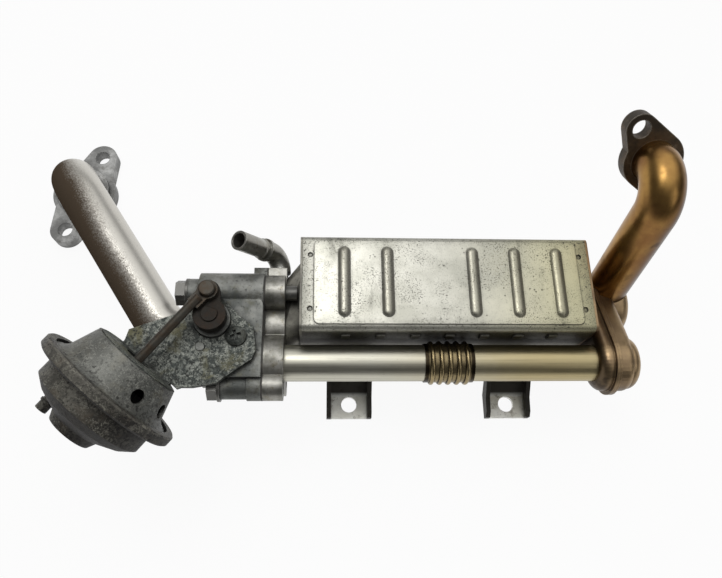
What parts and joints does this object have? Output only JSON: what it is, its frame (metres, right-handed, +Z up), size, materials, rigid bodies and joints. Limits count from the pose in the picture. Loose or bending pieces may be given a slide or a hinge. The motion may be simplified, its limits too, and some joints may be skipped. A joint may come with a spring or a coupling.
{
  "type": "exhaust gas recirculation cooler",
  "caption": "Boxed gas cooler with a bypass tube and bellows, bent gas pipes with bolt flanges, and a lever-worked bypass valve pulled by a round vacuum can.",
  "frame": {"origin": "Midway between the two bracket holes, on the underside of the feet.", "axes": "+X runs from the valve end to the gas inlet end along the box, +Y from the feet towards the box, +Z up from the feet to the ribbed cover."},
  "size_m": [0.355, 0.2038, 0.1253],
  "materials": {
    "stainless": "worn sheet steel with oil speckle",
    "tinted_stainless": "heat tinted steel",
    "flange_steel": "machined and dulled",
    "dark_steel": "dark oxide",
    "satin_steel": "satin",
    "cast_alloy": "dull casting",
    "zinc_plate": "mottled zinc plate",
    "can_steel": "stained zinc plate",
    "rusty_steel": "light rust",
    "bush_bronze": "sintered",
    "rubber": "matt",
    "gasket": "fibre"
  },
  "bodies": {
    "root": {"cooler_cover": "stainless", "cooler_tray": "stainless", "header_left": "stainless", "header_right": "tinted_stainless", "gas_tubes": "stainless", "outlet_cone": "dark_steel", "cooler_flange": "flange_steel", "inlet_header": "tinted_stainless", "collector_inner": "tinted_stainless", "collector_outer": "tinted_stainless", "bypass_tube_left": "stainless", "bypass_bellows": "tinted_stainless", "bypass_tube_right": "tinted_stainless", "inlet_pipe": "tinted_stainless", "inlet_flange": "dark_steel", "coolant_nozzle_front": "dark_steel", "coolant_nozzle_rear": "dark_steel", "bracket_left": "flange_steel", "bracket_right": "flange_steel", "valve_housing": "cast_alloy", "flange_gasket": "gasket", "flange_bolts": "dark_steel", "outlet_pipe": "satin_steel", "outlet_flange": "flange_steel", "actuator_bracket": "zinc_plate", "bracket_screw": "zinc_plate", "shaft_bushes": "bush_bronze", "shaft_seal": "rubber", "actuator_cup": "zinc_plate", "actuator_can": "can_steel", "diaphragm": "rubber", "return_spring": "zinc_plate", "vacuum_nipple": "can_steel"},
    "lever": {"valve_shaft": "rusty_steel", "bypass_flap": "rusty_steel", "flap_screws": "zinc_plate", "lever_arm": "rusty_steel", "lever_pin": "rusty_steel"},
    "rod": {"actuator_rod": "rusty_steel"},
    "piston": {"diaphragm_plate": "zinc_plate"}
  },
  "joints": [
    {"name": "piston_pull", "type": "slide", "parent": "root", "child": "piston", "axis": [-0.659, -0.7449, -0.1045], "range_m": [0, 0.0108], "stiffness_N_per_m": 200, "springref_m": -0.01, "deforming": ["return_spring", "diaphragm"]},
    {"name": "lever_turn", "type": "hinge", "parent": "root", "child": "lever", "pos_m": [-0.1168, 0.03, 0.07], "axis": [0, 0, 1], "range_deg": [0, 58]},
    {"name": "rod_swing", "type": "hinge", "parent": "lever", "child": "rod", "pos_m": [-0.118, 0.04144, 0.082], "axis": [0, 0, 1], "range_deg": [-58, 0]}
  ],
  "couplings": [
    {"joint": "lever_turn", "follows": "piston_pull", "rad_per_m": 93.363},
    {"joint": "rod_swing", "follows": "piston_pull", "rad_per_m": -93.363}
  ]
}
